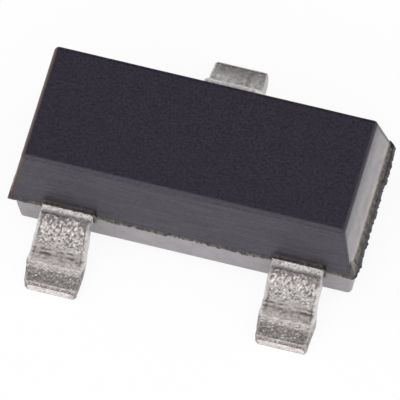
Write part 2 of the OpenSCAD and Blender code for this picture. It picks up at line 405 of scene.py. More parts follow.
def add_flash(add_ring, rim):
    """Rings of the flash: its underside, its torn edge and its top."""
    for share in (0.35, 0.7, 1.0):
        offset = rim.reach * share - RIM_STEP * (1 - share)
        height = rim.root_low + (rim.edge_low - rim.root_low) * share
        add_ring(rim.flash_ring(offset, height), flash=0.8, outer=1.0)
    ripple = rim.noise(45, seed=4, octaves=2)
    for share in (0.2, 0.4, 0.6, 0.8):
        offset = rim.reach + 0.008 * ripple * math.sin(math.pi * share) - 0.010 * share * rim.right_end
        height = rim.edge_low + (rim.edge_top - rim.edge_low) * share
        add_ring(rim.flash_ring(offset, height), flash=1.0, torn=1.0, outer=1.0)
    for share in (0.97, 0.8, 0.6, 0.4, 0.2):
        places = np.c_[rim.points[:, :2] + rim.outward * share * 0.05, rim.points[:, 2]]
        rough = 0.004 * noise_field(places, 32, seed=5, octaves=2)
        height = rim.root_top + (rim.edge_top - rim.root_top) * share ** 0.7
        height += rough - 0.004 * (share > 0.9)
        offset = (rim.reach - 0.010 * rim.right_end) * share
        add_ring(rim.flash_ring(offset, height, 1 - share), flash=0.9, outer=float(share > 0.5))


def add_cap(shell, base, flip):
    """Fills a flat face as a grid between the four sides of the ring that starts at base."""
    along, down = np.arange(COLUMNS + 1), np.arange(ROWS + 1)
    index = np.zeros((COLUMNS + 1, ROWS + 1), int)
    index[:, 0] = along
    index[-1] = COLUMNS + down
    index[::-1, -1] = COLUMNS + ROWS + along
    index[0, ::-1] = (2 * COLUMNS + ROWS + down) % (2 * (COLUMNS + ROWS))
    index += base
    edge = shell.verts[index]
    s, t = (along / COLUMNS)[:, None, None], (down / ROWS)[:, None]
    grid = (1 - t) * edge[:, :1] + t * edge[:, -1:] + (1 - s) * edge[:1] + s * edge[-1:]
    near = (1 - s) * (1 - t) * edge[0, 0] + s * (1 - t) * edge[-1, 0]
    grid -= near + s * t * edge[-1, -1] + (1 - s) * t * edge[0, -1]
    start = shell.add(grid[1:-1, 1:-1].reshape(-1, 3))
    index[1:-1, 1:-1] = start + np.arange((COLUMNS - 1) * (ROWS - 1)).reshape(COLUMNS - 1, -1)
    quads = np.stack([index[:-1, :-1], index[1:, :-1], index[1:, 1:], index[:-1, 1:]], axis=2)
    shell.faces += quads[:, :, ::-1 if flip else 1].reshape(-1, 4).tolist()


def roughen(body, verts, normals, flash):
    """Fine roughness, strongest on the flash, and a broad unevenness that stays under the top."""
    fine = noise_field(verts, 22, seed=6, octaves=3, roughness=0.6)
    broad = noise_field(verts, 4, seed=7, octaves=2)
    moved = verts + normals * (fine * (flash * 0.0035 + 0.0007) + broad * 0.0012)[:, None]
    moved[:, 2] = np.minimum(moved[:, 2], TOP)
    body.data.vertices.foreach_set("co", (moved * MM).astype(np.float32).ravel())
    body.data.update()


def painted_root_shadows(verts, broken):
    """Painted shadow round the roots of the leads: a soft zone over each, and a strip at its sides on the
    lower half.
    """
    x, y, z = verts.T
    level = np.abs(z - PARTING - ROOT_MIDDLE)
    around = np.zeros(len(verts))
    for lead_x, side in LEAD_XY.values():
        at_side = y * side > 0.4
        away = np.abs(x - lead_x + 0.010 * side) - HALF_LEAD
        zone = falling(*ROOT_BESIDE, away + 0.05 * broken) * falling(*ROOT_OVER, level + 0.09 * broken)
        side_shadow = (z < PARTING) * falling(*SIDE_SHADOW_BESIDE, np.abs(away)) * falling(*SIDE_SHADOW_UNDER, level)
        around = np.maximum(around, at_side * np.maximum(zone, side_shadow))
    return around * np.clip(0.80 + 0.9 * broken, 0.4, 1)


def paint_light_and_weather(body, verts, normals):
    """Painted root shadows, painted reflection of the floor, drag lines, worn edges, soiled left end, brown
    tint and dust, as shades.
    """
    x, y, z = verts.T
    upper = z > PARTING
    broken = noise_field(verts, 14, seed=9, octaves=2)
    # The root shade is painted shadow over and beside each lead's root
    store(body, "root", painted_root_shadows(verts, broken))

    # Painted reflection of the white floor, greyer than the resin, on the lower half and on the ends, which
    # fades towards the top edge
    lower = falling(PARTING - 0.07, PARTING - 0.03, z)
    half_width, corner = half_sizes(z)[1:]
    outward = rising(0.75, 0.98, np.abs(normals[:, 0]))
    outward *= 1 - rising(-0.016, -0.006, y - (half_width - corner)) * upper
    soiled = falling(-0.60, -0.45, y) * rising(0.1, 0.5, -normals[:, 0])
    outward *= 1 - 0.9 * soiled
    steep = falling(0.3, 0.7, np.abs(normals[:, 2]))
    fading = 1 - 0.55 * rising(TOP - 0.24, TOP - 0.04, z)
    patchy = 1 + 0.30 * noise_field(verts, 11, seed=10, octaves=3, roughness=0.7)
    floor_reflection = 0.66 * lower * steep + 0.64 * outward * (1 - lower) * fading * patchy
    store(body, "floor_reflection", np.clip(floor_reflection, 0, 1))
    store(body, "drag", steep)

    # Edges worn dull at the back, and the soiled front corner of the left end
    to_back = rising(0.25, 0.6, normals[:, 1]) * (y > 0.4)
    worn = to_back * rising(PARTING + 0.1, PARTING + 0.2, z)
    store(body, "worn", np.maximum(worn, soiled))

    # Brown tint along the left end, and warm dust on the right end over its flash
    store(body, "brown", rising(0.1, 0.5, -normals[:, 0]) * upper)
    above = z - (PARTING + FLASH_THICKNESS / 2 + END_CLIMB)
    store(body, "dust", outward * (x > 0) * falling(0.01, 0.13, above + 0.06 * broken) * upper)


def make_body():
    rim = Rim()
    shell = Shell("flash", "torn", "outer")

    def add_ring(points, flash=0.0, torn=0.0, outer=0.0):
        shell.add(points, flash=flash * (1 - rim.left_end), outer=outer * rim.right_end,
                  torn=torn * (1 - rim.right_end) * (1 - rim.by_lead))

    # Underside's edge and lower half
    for k in range(LOW_EDGE_RINGS + 1):
        angle = math.pi / 2 * (1 - k / LOW_EDGE_RINGS)
        add_ring(rim.at(BOTTOM + EDGE_RADIUS * (1 - math.sin(angle))))
    low_start = BOTTOM + EDGE_RADIUS
    for k in range(1, LOW_RINGS + 1):
        add_ring(rim.at(low_start + (rim.root_low - low_start) * k / LOW_RINGS))

    add_flash(add_ring, rim)

    # Upper half and the top's edge
    high_stop = TOP - EDGE_RADIUS
    for k in range(HIGH_RINGS + 1):
        height = rim.root_top + (high_stop - rim.root_top) * k / HIGH_RINGS
        add_ring(rim.at(height), flash=0.5 * (k == 0))
    for k in range(1, HIGH_EDGE_RINGS + 1):
        add_ring(rim.at(high_stop + EDGE_RADIUS * math.sin(math.pi / 2 * k / HIGH_EDGE_RINGS)))

    ring_count = len(shell.verts) // rim.count
    shell.faces = grid_faces(rim.count, ring_count)
    add_cap(shell, (ring_count - 1) * rim.count, flip=False)
    add_cap(shell, 0, flip=True)
    body = shell.make("moulded_body")
    normals = vertex_normals(body)
    roughen(body, shell.verts, normals, shell.shades["flash"])
    paint_light_and_weather(body, shell.verts, normals)
    return body


# Bent leads

STATION_STEP = 0.006
TOP_STEPS = 64
EDGE_STEPS = 5
WALL_STEPS = 10
UNDER_STEPS = 24
TOP_EDGE = 0.024
LOW_EDGE = 0.012

# Heights and depths of the forming tool's marks
CRUMPLE = 0.0042
CRUMPLE_GRAIN = 0.0012
ROOT_FALL = 0.006
SIDE_GROOVE = 0.0045
SOFT_RELIEF = 0.0026
GRIT_RELIEF = 0.0024
TIP_FALL = 0.024
TIP_BLUNT = 0.016
FULL_SHADE_DEPTH = 0.008

# Lines across a lead: how far after their mark, depth and width. The marks are the crease, the
# riser's start, the hollow bend's start and the foot's start
GROOVE = (0.0, 0.0090, 0.0080)
RISER_LINES = ((0.178, 0.0060, 0.010), (0.226, 0.0070, 0.013), (0.284, 0.0050, 0.012))
RIDGE = (-0.022, 0.0060, 0.014)
FOOT_LINE = (0.041, 0.0022, 0.016)

# Stretches after the riser's start, after the hollow bend's start, and up to the tip
CRUMPLE_STOPS = (0.10, 0.18)
LOW_PART = (0.12, 0.18)
HEEL = (0.020, 0.055)
FOOT = (0.075, 0.115)
TIP_FALLS = (-0.030, 0)
TIP_BLUNTS = (-0.026, 0)

# Rings that close the sheared ends: how far in, how far out, and how dark on the upper half
SHEARED_RINGS = ((0.004, 0.0, 0.5), (0.010, -0.002, 0.9), (0.017, 0.001, 0.1), (0.030, 0.002, 0.0),
                 (0.045, 0.002, 0.0))


def strip_path():
    """Stations along the middle of a lead's thickness (distance, outward place, height, slope),
    and the distances at which the bends, the riser, the foot and the tip start."""
    mid = LEAD_THICKNESS / 2
    bends = SHOULDER_BEND + FOOT_BEND + LEAD_THICKNESS
    riser = (LEAD_BOTTOM - bends * (1 - math.cos(RISER_ANGLE))) / math.sin(RISER_ANGLE)
    foot = TIP - HALF_WIDTH - SHOULDER - bends * math.sin(RISER_ANGLE) - riser * math.cos(RISER_ANGLE)
    y, z, slope, run = HALF_WIDTH - LEAD_ANCHOR, LEAD_BOTTOM + mid, 0.0, 0.0
    stations = [(run, y, z, slope)]

    def straight(length):
        nonlocal y, z, run
        steps = max(1, round(length / STATION_STEP))
        for _ in range(steps):
            y += length / steps * math.cos(slope)
            z -= length / steps * math.sin(slope)
            run += length / steps
            stations.append((run, y, z, slope))
        return run

    def bend(angle, radius):
        nonlocal y, z, slope, run
        length = abs(angle) * (radius + mid)
        steps = max(1, round(length / STATION_STEP))
        for _ in range(steps):
            turn = angle / steps
            chord = 2 * (radius + mid) * math.sin(abs(turn) / 2)
            y += chord * math.cos(slope + turn / 2)
            z -= chord * math.sin(slope + turn / 2)
            slope += turn
            run += length / steps
            stations.append((run, y, z, slope))
        return run

    marks = (straight(LEAD_ANCHOR + SHOULDER), bend(RISER_ANGLE, SHOULDER_BEND), straight(riser),
             bend(-RISER_ANGLE, FOOT_BEND), straight(foot))
    return np.array(stations), marks


def strip_section():
    """Outline of a lead's section: across, up, and the outward direction as across and up."""
    w, t = HALF_LEAD, LEAD_THICKNESS / 2
    corners = ((w, t, TOP_EDGE), (-w, t, TOP_EDGE), (-w, -t, LOW_EDGE), (w, -t, LOW_EDGE))
    centres = [(x - math.copysign(r, x), y - math.copysign(r, y), r) for x, y, r in corners]
    sides = (((1, 0), WALL_STEPS), ((0, 1), TOP_STEPS), ((-1, 0), WALL_STEPS), ((0, -1), UNDER_STEPS))
    out = []
    for number, ((nx, ny), steps) in enumerate(sides):
        (x0, y0, r0), (x1, y1, r1) = centres[number - 1], centres[number]
        start, stop = (x0 + r0 * nx, y0 + r0 * ny), (x1 + r1 * nx, y1 + r1 * ny)
        for k in range(steps):
            share = k / steps
            out.append((*(p + (q - p) * share for p, q in zip(start, stop)), nx, ny))
        for k in range(EDGE_STEPS):
            angle = math.radians(90 * (number + k / EDGE_STEPS))
            c, s = math.cos(angle), math.sin(angle)
            out.append((x1 + r1 * c, y1 + r1 * s, c, s))
    return np.array(out)


class Strip:
    """A lead's strip as rows of section points, with the marks that its forming has left."""

    def __init__(self, seed, look):
        self.seed, self.look = seed, look
        stations, marks = strip_path()
        self.bend, self.riser, self.hollow, self.foot, self.tip = marks
        self.section = strip_section()
        self.rows, self.columns = len(stations), len(self.section)
        self.run, self.y, self.z, self.slope = np.repeat(stations, self.columns, axis=0).T
        self.across, self.up, self.out_across, out_up = np.tile(self.section, (self.rows, 1)).T
        self.flat = np.stack([self.across, self.run, np.zeros(len(self.run))], axis=1)
        self.top = np.clip(out_up, 0, 1)
        self.root = LEAD_ANCHOR + BLEED_LENGTH
        self.shown = rising(self.root - 0.02, self.root, self.run)
        self.in_from_edge = HALF_LEAD - np.abs(self.across)

        # Patterns that the relief and the shades follow
        self.jag = 0.010 * self.noise(26, 25, octaves=2)
        self.soft = self.noise(22, 23, octaves=3, roughness=0.65, stretch=(1, 1.2, 1))
        self.grit = self.noise(48, 26, octaves=2)
        self.crease = self.bend + look["crease"]
        self.ragged_crease = self.crease + 0.5 * self.jag
        self.after_crease = self.after(self.crease, 0, 0.02)
        self.low_part = self.after(self.riser, *LOW_PART)
        self.zone = self.after(self.ragged_crease, 0, 0.012)
        self.zone *= self.before(self.riser, *CRUMPLE_STOPS, jagged=2) * look["rough"]
        self.crumple = self.crumpled()
        self.beside = self.side_groove()
        self.patchy = np.clip(0.8 + 0.9 * self.soft + 0.5 * self.grit, 0, 1.6)
        self.speck = np.clip(2.2 * self.noise(62, 36, octaves=2), -1, 1)
        self.flecks = rising(0.40, 0.90, -self.speck + 0.5 * self.soft) * look["tint"]
        self.flecks *= self.after(self.hollow, 0.02, 0.06)

    def noise(self, per_mm, number, octaves=1, roughness=0.5, stretch=(1, 1, 1), shift=(0, 0, 0)):
        points = self.flat * stretch + shift
        return noise_field(points, per_mm, self.seed + number, octaves, roughness)

    def after(self, mark, low, high, jagged=0):
        """0 along the lead up to low past a mark, and 1 from high past it on."""
        return rising(mark + low, mark + high, self.run + jagged * self.jag)

    def before(self, mark, low, high, jagged=0):
        return 1 - self.after(mark, low, high, jagged)

    def profile(self, name):
        """One of the look's profiles, whose places are counted from the riser's start."""
        places, values = np.array(self.look[name]).T
        return np.interp(self.run - self.riser, places, values)

    def crumpled(self):
        """Folds of the crumpled plating, from the crease at the bend to the middle of the riser."""
        plateau = rising(0.022, 0.034, self.in_from_edge + self.jag)
        warp = 0.006 * self.noise(24, 20, octaves=2)
        warped = self.flat + np.stack([warp, -warp, np.zeros(len(warp))], axis=1)
        folds = np.tanh(3.4 * noise_field(warped, 60 * self.look["fine"], self.seed + 21))
        worms = np.sin(9 * noise_field(warped, 34 * self.look["fine"], self.seed + 22))
        return self.zone * plateau * (0.70 * folds + 0.45 * worms)

    def side_groove(self):
        """Jagged groove along both sides of the crumpled part."""
        ragged = 0.9 * self.jag + 0.010 * self.noise(14, 33)
        groove = np.exp(-((self.in_from_edge + ragged - 0.034) / 0.007) ** 2)
        groove *= np.clip(0.6 + 1.5 * self.noise(13, 34, octaves=2), 0, 1.2)
        groove *= self.after_crease * self.before(self.hollow, -0.06, 0)
        return groove * self.look["rough"]

    def tool_line(self, mark, shift, depth, width, faintest=0.0):
        """A line across the lead, broken and wandering a little."""
        place = mark + shift
        wander = 0.008 * self.noise(9, 30, octaves=2, stretch=(1, 0, 0)) + 0.7 * self.jag
        varied = 0.85 + 1.3 * self.noise(12, 31, octaves=2, stretch=(1, 0, 0), shift=(0, place, 0))
        varied = np.clip(varied, max(0.1, faintest), 2)
        broken = np.clip(0.55 + 1.6 * self.noise(20, 32, octaves=2, stretch=(1, 0.3, 1)), faintest, 1.3)
        across = np.exp(-((self.run - place - wander) / width) ** 2)
        return self.look["lines"] * depth * varied * broken * across

    def relief(self):
        """Height of the upper face over the plain strip."""
        height = CRUMPLE * self.crumple + CRUMPLE_GRAIN * self.noise(48, 35, octaves=2) * self.zone

        # Smooth band at the root, which falls a little, and the groove where it ends
        fall = rising(self.root, self.crease + 0.01, self.run)
        height -= ROOT_FALL * fall * falling(self.bend + 0.04, self.riser, self.run)
        height -= self.tool_line(self.crease, *GROOVE, faintest=0.60)

        # Lines over the riser, a ridge before the hollow bend, and a line on the foot
        waves = self.look["waves"]
        for line in RISER_LINES:
            height -= self.tool_line(self.riser + waves, *line)
        height += self.tool_line(self.hollow + waves, *RIDGE)
        height -= self.tool_line(self.foot + waves, *FOOT_LINE)
        height -= SIDE_GROOVE * self.beside
        height += (SOFT_RELIEF * self.soft + GRIT_RELIEF * self.grit * self.low_part) * self.look["grit"]
        height -= TIP_FALL * self.after(self.tip, *TIP_FALLS) ** 2
        return height * self.top * self.shown

    def points(self, height):
        """Points of the strip: squeezed wider by its bends, leaning a little, blunt at the tip."""
        wider = np.where(self.across > 0, self.profile("plus"), self.profile("minus"))
        share = self.across / HALF_LEAD
        root_lean, tip_lean = self.look["lean"]
        lean = root_lean + (tip_lean - root_lean) * rising(LEAD_ANCHOR + SHOULDER, self.tip, self.run)
        blunt = TIP_BLUNT * self.after(self.tip, *TIP_BLUNTS) ** 2
        rough = 0.0035 * self.noise(22, 24, octaves=2, shift=(0, 0, 1.7)) * np.abs(self.out_across)
        across = self.across - blunt * share
        across += (wider * share + self.out_across * rough + lean) * self.shown
        up = self.up + height
        return np.stack([across, self.y + np.sin(self.slope) * up, self.z + np.cos(self.slope) * up], axis=1)

    def dark(self, height):
        """Painted shade in creases, the crumple's valleys, grooves and tool lines, with stains, streaks,
        specks and darker worked places.
        """
        look, tint, hollow = self.look, self.look["tint"], self.hollow
        soft, grit = self.soft, self.grit
        # Painted shade where the face lies below the plain strip, in the crumple's valleys and in the side
        # groove
        valleys = np.clip(-self.crumple, 0, 1)
        dark = np.clip(-height / FULL_SHADE_DEPTH, 0, 1) * (1 - valleys)
        dark += 1.1 * np.clip(-self.crumple - 0.10, 0, 1) + 0.55 * self.beside
        dark += 0.40 * np.clip(soft + 0.5 * grit * self.low_part, 0, 1) * look["grit"]
        streaks = np.clip(1.4 * self.noise(17, 27, octaves=2, stretch=(1, 0.16, 1)) - 0.15, 0, 1)
        dark += look["streak"] * streaks * (1 - 0.6 * self.after(self.tip, -0.10, -0.05))

        # Riser, its worked lower part and the heel
        on_riser = self.after_crease * self.before(hollow, -0.03, 0)
        worked = self.after(self.riser, 0.14, 0.20, jagged=1) * self.before(hollow, -0.05, -0.01, jagged=1)
        heeled = self.after(hollow, *HEEL, jagged=1.5) * self.before(hollow, *FOOT)
        dark += tint * (0.16 * on_riser + 0.30 * worked) * self.patchy
        dark += tint * 0.62 * heeled * np.clip(0.9 + 0.9 * soft + 0.7 * grit, 0.3, 1.3)
        dark += tint * 0.35 * np.clip(1.6 * grit - 0.1, 0, 1) * self.after_crease

        # Specks on the foot and on the root's band, and bright flecks from the heel on
        footed = self.after(hollow, *FOOT)
        at_root = self.shown * self.before(self.crease, -0.02, 0)
        dark += tint * footed * (0.50 * np.clip(0.15 + 0.9 * self.speck, 0, 1) + 0.25 * (0.8 + 0.9 * soft))
        dark += tint * 0.80 * at_root * np.clip(-self.speck - 0.1, 0, 1)
        dark *= 1 - 0.8 * self.flecks
        at_tip = self.after(self.tip, -0.026, -0.012)
        dark = np.clip(dark * (1 - at_tip * np.clip(0.3 + 0.9 * self.speck, 0, 0.8)), 0, 1) * self.top
        low_side = self.after(hollow, -0.04, 0.05, jagged=1) + 0.15
        return np.maximum(dark, look["sides"] * low_side * np.abs(self.out_across) * self.patchy)

    def shades(self, height):
        """Crease (painted shade with stains), painted highlight and pale, as the material of the leads reads
        them.
        The painted highlight lies along both edges, on the root's band, on the folds' crests and where the
        plating is pale."""
        band = self.shown * self.before(self.ragged_crease, -0.006, 0.004) * (0.75 + 1.1 * self.grit)
        folds = 1.3 * np.clip(self.crumple - 0.2, 0, 1)
        painted_highlight = np.maximum(falling(0.010, 0.026, self.in_from_edge), band + folds) * self.shown
        painted_highlight *= 1 - 0.9 * self.after(self.hollow, -0.02, 0.04)
        painted_highlight *= 1 - 0.4 * np.abs(self.out_across)
        pale = self.profile("pale") * (0.85 + 0.6 * self.grit) * self.shown + 0.6 * self.flecks
        painted_highlight = np.maximum(painted_highlight, 0.9 * np.clip(1.3 * pale - 0.3, 0, 1))
        return {"crease": self.dark(height), "painted_highlight": painted_highlight, "pale": pale}


def close_strip(shell, strip, first, outward):
    """Closes an end of the strip with rings set further and further in: the sheared face."""
    rim = shell.verts[first:first + strip.columns]
    centre = rim.mean(axis=0)
    upper = strip.section[:, 1] > 0
    order = -outward
    previous = first
    for inset, push, shade in SHEARED_RINGS:
        ring = centre + (rim - centre) * [1 - inset / HALF_LEAD, 1.0, 1 - inset / (LEAD_THICKNESS / 2)]
        torn = noise_field(ring * [1, 0, 1] + [0, 3, 0], 26, strip.seed + 40, octaves=2)
        level = rising(0, 0.02, inset)
        ring[:, 1] = rim[:, 1] * (1 - level) + centre[1] * level + outward * (push - 0.006 + 0.005 * torn)
        start = shell.add(ring, crease=shade * upper + 0.8 * np.clip(torn, 0, 1), cut=1.0)
        for i in range(strip.columns):
            j = (i + 1) % strip.columns
            shell.faces.append((previous + i, previous + j, start + j, start + i)[::order])
        previous = start
    middle = shell.add(ring.mean(axis=0)[None], cut=1.0)
    for i in range(strip.columns):
        shell.faces.append((previous + i, previous + (i + 1) % strip.columns, middle)[::order])


def arc_points(cx, cy, radius, start, stop, steps):
    angles = np.radians(np.linspace(start, stop, steps + 1))
    return [(cx + radius * math.cos(t), cy + radius * math.sin(t)) for t in angles]


def inner_plan(node):
    """Outline of a lead's inner end, seen from above, as the lead lies on the back side."""
    w = HALF_LEAD
    neck_end = HALF_WIDTH - LEAD_ANCHOR
    neck_mid = neck_end - NECK_LENGTH / 2
    points = arc_points(w, neck_mid, NOTCH_RADIUS, 270, 90, 10) + [(w, neck_end), (-w, neck_end)]
    points += arc_points(-w, neck_mid, NOTCH_RADIUS, 90, -90, 10)
    if node == "cathode_lead":
        back = neck_end - NECK_LENGTH
        front, p = back - PADDLE_DEPTH, PADDLE_WIDTH / 2
        return points + [(-w, back), (-p, back), (-p, front), (p, front), (p, back), (w, back)]
    low, high = (front_low, front_high) if node == "anode_lead" else (other_low, other_high)
    x0 = LEAD_XY[node][0]
    left, right = x0 - high[0], x0 - low[0]
    front, back = -high[1], neck_end - POST_GAP
    if right > w + 0.01:
        return points + [(-w, front), (right, front), (right, back), (w, back)]
    return points + [(-w, back), (left, back), (left, front), (w, front)]


def add_inner_end(shell, node):
    """The lead's inner end, inside the resin."""
    plan = inner_plan(node)
    size = len(plan)
    low = shell.add(np.array([(x, y, LEAD_BOTTOM) for x, y in plan]))
    high = shell.add(np.array([(x, y, LEAD_TOP) for x, y in plan]))
    shell.faces.append(tuple(low + k for k in reversed(range(size))))
    shell.faces.append(tuple(high + k for k in range(size)))
    for k in range(size):
        m = (k + 1) % size
        shell.faces.append((low + k, low + m, high + m, high + k))


def make_lead(name, node, seed, look):
    strip = Strip(seed, look)
    height = strip.relief()
    shell = Shell("crease", "painted_highlight", "cut", "pale")
    shell.add(strip.points(height), **strip.shades(height))
    shell.faces = [face[::-1] for face in grid_faces(strip.columns, strip.rows)]
    close_strip(shell, strip, 0, -1)
    close_strip(shell, strip, (strip.rows - 1) * strip.columns, 1)
    add_inner_end(shell, node)
    x0, side = LEAD_XY[node]
    shell.verts[:, :2] *= side
    shell.verts[:, 0] += x0
    return shell.make(name)


# Materials

# Colours of the resin: dark and light grain, drag lines, brown tint, painted floor reflection, dust, painted
# shadow at the lead roots
RESIN = ((0.007, 0.005, 0.012), (0.028, 0.022, 0.039))
DRAG_LINE = (0.10, 0.094, 0.112)
BROWN = (0.075, 0.042, 0.034)
FLOOR_REFLECTION = (0.385, 0.352, 0.375)
DUST = (0.56, 0.505, 0.42)
SHADOW_AT_ROOTS = (0.027, 0.020, 0.021)

# Colours of the flash: its face, the outer part at the right end, and its torn edge, whose brightest colour
# is painted glints
FLASH = ((0.012, 0.010, 0.009), (0.105, 0.088, 0.062))
OUTER_FLASH = ((0.006, 0.004, 0.009), (0.042, 0.034, 0.048))
TORN_FLASH = ((0.030, 0.024, 0.022), (0.085, 0.072, 0.085), (0.42, 0.36, 0.30))
BARE_TORN_FLASH = (0.035, 0.030, 0.032)

# Colours of the plating: its face, painted highlights, sheared ends, and the painted shade and stains of
# shallow and deep creases
TIN = ((0.40, 0.37, 0.36), (0.66, 0.63, 0.622))
TIN_HIGHLIGHT = ((0.66, 0.63, 0.63), (0.98, 0.96, 0.965))
TIN_CUT = ((0.66, 0.575, 0.555), (0.99, 0.94, 0.93))
TIN_SHADE_AND_STAIN = ((0.165, 0.132, 0.122), (0.072, 0.060, 0.062))

# Depths of the grain that only the materials show
FINE_BUMP = 0.0016
INNER_BUMP = 0.001


class Tree:
    """Short forms for nodes. A value is a number, a vector, a colour or another node's output."""

    def __init__(self, owner):
        owner.use_nodes = True
        self.nodes, self.links = owner.node_tree.nodes, owner.node_tree.links

    def fill(self, socket, value):
        if isinstance(value, bpy.types.NodeSocket):
            self.links.new(value, socket)
        else:
            socket.default_value = (*value, 1) if socket.type == "RGBA" else value

    def set(self, node, **values):
        """Fills the inputs that are named, with _ for a space."""
        for name, value in values.items():
            self.fill(node.inputs[name.replace("_", " ")], value)
        return node

    def node(self, kind, **values):
        return self.set(self.nodes.new("ShaderNode" + kind), **values)

    def ramp(self, value, places, colours):
        node = self.node("ValToRGB", Fac=value)
        elements = node.color_ramp.elements
        for place in places[len(elements):]:
            elements.new(place)
        for element, place, colour in zip(elements, places, colours):
            element.position = place
            element.color = (*colour, 1)
        return node.outputs["Color"]

    def level(self, value, low, high, start=0.0, stop=1.0):
        node = self.node("MapRange", Value=value, From_Min=start, From_Max=stop, To_Min=low, To_Max=high)
        return node.outputs["Result"]

    def math(self, kind, a, b):
        node = self.node("Math")
        node.operation = kind
        self.fill(node.inputs[0], a)
        self.fill(node.inputs[1], b)
        return node.outputs["Value"]

    def mix(self, share, a, b):
        node = self.node("Mix")
        node.data_type = "RGBA"
        self.set(node, Factor=share, A=a, B=b)
        return [o for o in node.outputs if o.type == "RGBA"][0]

    def attribute(self, name):
        node = self.node("Attribute")
        node.attribute_name = name
        return node.outputs["Fac"]


class Surface(Tree):
    """A material of one shader, whose textures lie in the piece's own coordinates."""

    def __init__(self, name, **values):
        self.material = bpy.data.materials.new(name)
        super().__init__(self.material)
        self.place = self.node("TexCoord").outputs["Object"]
        self.shade(**values)

    def shade(self, **values):
        self.set(self.nodes["Principled BSDF"], **values)

    def noise(self, per_mm, detail, rough, stretch=(1, 1, 1)):
        scale = tuple(per_mm * s / MM for s in stretch)
        place = self.node("Mapping", Vector=self.place, Scale=scale).outputs["Vector"]
        return self.node("TexNoise", Vector=place, Scale=1.0, Detail=detail, Roughness=rough).outputs["Fac"]

    def bump(self, height, depth_mm):
        node = self.node("Bump", Height=height, Distance=depth_mm * MM, Strength=1.0)
        self.shade(Normal=node.outputs["Normal"])


def resin_material():
    m = Surface("moulded_resin", IOR=1.55, Metallic=0.0)
    mottle = m.noise(9, 3, 0.6)
    grain = m.noise(45, 3, 0.65)
    streak = m.noise(1, 2, 0.6, stretch=(2.2, 2.2, 75))
    flecks = m.noise(34, 2, 0.7)
    patches = m.noise(3.2, 2, 0.6)

    # Face of the resin, under drag lines, brown tint, painted floor reflection and dust
    base = m.ramp(grain, (0.35, 0.65), RESIN)
    dragged = m.math("MULTIPLY", m.attribute("drag"), m.level(streak, -0.26, 0.52))
    faced = m.mix(m.attribute("brown"), m.mix(dragged, base, DRAG_LINE), BROWN)
    clouded = m.math("MULTIPLY", m.level(mottle, 0.62, 1.38), m.level(grain, 0.8, 1.2))
    faced = m.mix(m.math("MULTIPLY", m.attribute("floor_reflection"), clouded), faced, FLOOR_REFLECTION)
    faced = m.mix(m.math("MULTIPLY", m.attribute("dust"), m.level(mottle, 0.1, 0.9)), faced, DUST)

    # Flash, its darker outer part and its torn edge with painted glints, and the painted shadow at the roots
    # of the leads
    flash = m.ramp(flecks, (0.42, 0.60), FLASH)
    torn = m.ramp(flecks, (0.40, 0.52, 0.60), TORN_FLASH)
    torn = m.mix(m.level(patches, 0.0, 1.0, 0.42, 0.58), BARE_TORN_FLASH, torn)
    flash = m.mix(m.attribute("outer"), flash, m.ramp(flecks, (0.40, 0.62), OUTER_FLASH))
    finned = m.mix(m.attribute("torn"), m.mix(m.attribute("flash"), faced, flash), torn)
    dulled = m.math("MAXIMUM", m.attribute("worn"), m.attribute("root"))
    dulled = m.math("MAXIMUM", dulled, m.math("MULTIPLY", m.attribute("outer"), 0.6))
    m.shade(Base_Color=m.mix(m.attribute("root"), finned, SHADOW_AT_ROOTS), Roughness=m.level(mottle, 0.32, 0.44),
            Specular_IOR_Level=m.level(dulled, 0.5, 0.08))
    m.bump(m.math("ADD", m.math("MULTIPLY", grain, 0.8), m.math("MULTIPLY", streak, 0.5)), FINE_BUMP)
    return m.material


def tin_material():
    m = Surface("matte_tin")
    cloud = m.noise(16, 3, 0.6)
    grain = m.noise(70, 2, 0.6)
    crease = m.attribute("crease")
    mottle = m.math("ADD", m.math("MULTIPLY", cloud, 0.5), m.math("MULTIPLY", grain, 0.5))
    # Painted highlight along the edges, on the root's band, on the folds' crests and where the plating is
    # pale
    edge = m.math("MULTIPLY", m.attribute("painted_highlight"), 0.85)
    faced = m.mix(edge, m.ramp(mottle, (0.36, 0.62), TIN), m.ramp(mottle, (0.36, 0.60), TIN_HIGHLIGHT))
    faced = m.mix(m.attribute("cut"), faced, m.ramp(mottle, (0.38, 0.58), TIN_CUT))
    # Painted shade and stains from the crease shade
    faced = m.mix(m.level(crease, 0.0, 0.82), faced, m.ramp(crease, (0.62, 1.0), TIN_SHADE_AND_STAIN))
    m.shade(Base_Color=faced, Roughness=m.level(cloud, 0.30, 0.44),
            Metallic=m.level(m.attribute("pale"), 1.0, 0.1))
    m.bump(grain, FINE_BUMP)
    return m.material


def inner_material(name, colours, metallic, roughness, per_mm, stretch=(1, 1, 1)):
    """A material for a piece inside the resin."""
    m = Surface(name, Metallic=metallic)
    cloud = m.noise(per_mm, 3, 0.6, stretch)
    m.shade(Base_Color=m.ramp(cloud, (0.3, 0.7), colours), Roughness=m.level(cloud, *roughness))
    m.bump(cloud, INNER_BUMP)
    return m.material


# Inside the resin: a material's name, two colours, metallic, roughness, grain to the mm, stretch
INNER_LOOKS = {
    "silicon_die": ("sawn_silicon", ((0.10, 0.11, 0.13), (0.20, 0.21, 0.24)), 0.6, (0.15, 0.4), 40,
                    (1, 1, 4)),
    "die_attach": ("dull_solder", ((0.38, 0.38, 0.40), (0.58, 0.58, 0.60)), 1.0, (0.35, 0.6), 30),
    "anode_contact": ("contact_film", ((0.78, 0.78, 0.80), (0.9, 0.9, 0.92)), 1.0, (0.12, 0.25), 60),
    "bond_wire": ("drawn_gold", ((0.78, 0.52, 0.17), (0.92, 0.68, 0.28)), 1.0, (0.18, 0.32), 45),
}


def dress_inner_nodes():
    for node, look in INNER_LOOKS.items():
        material = inner_material(*look)
        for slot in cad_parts[node].material_slots:
            slot.material = material
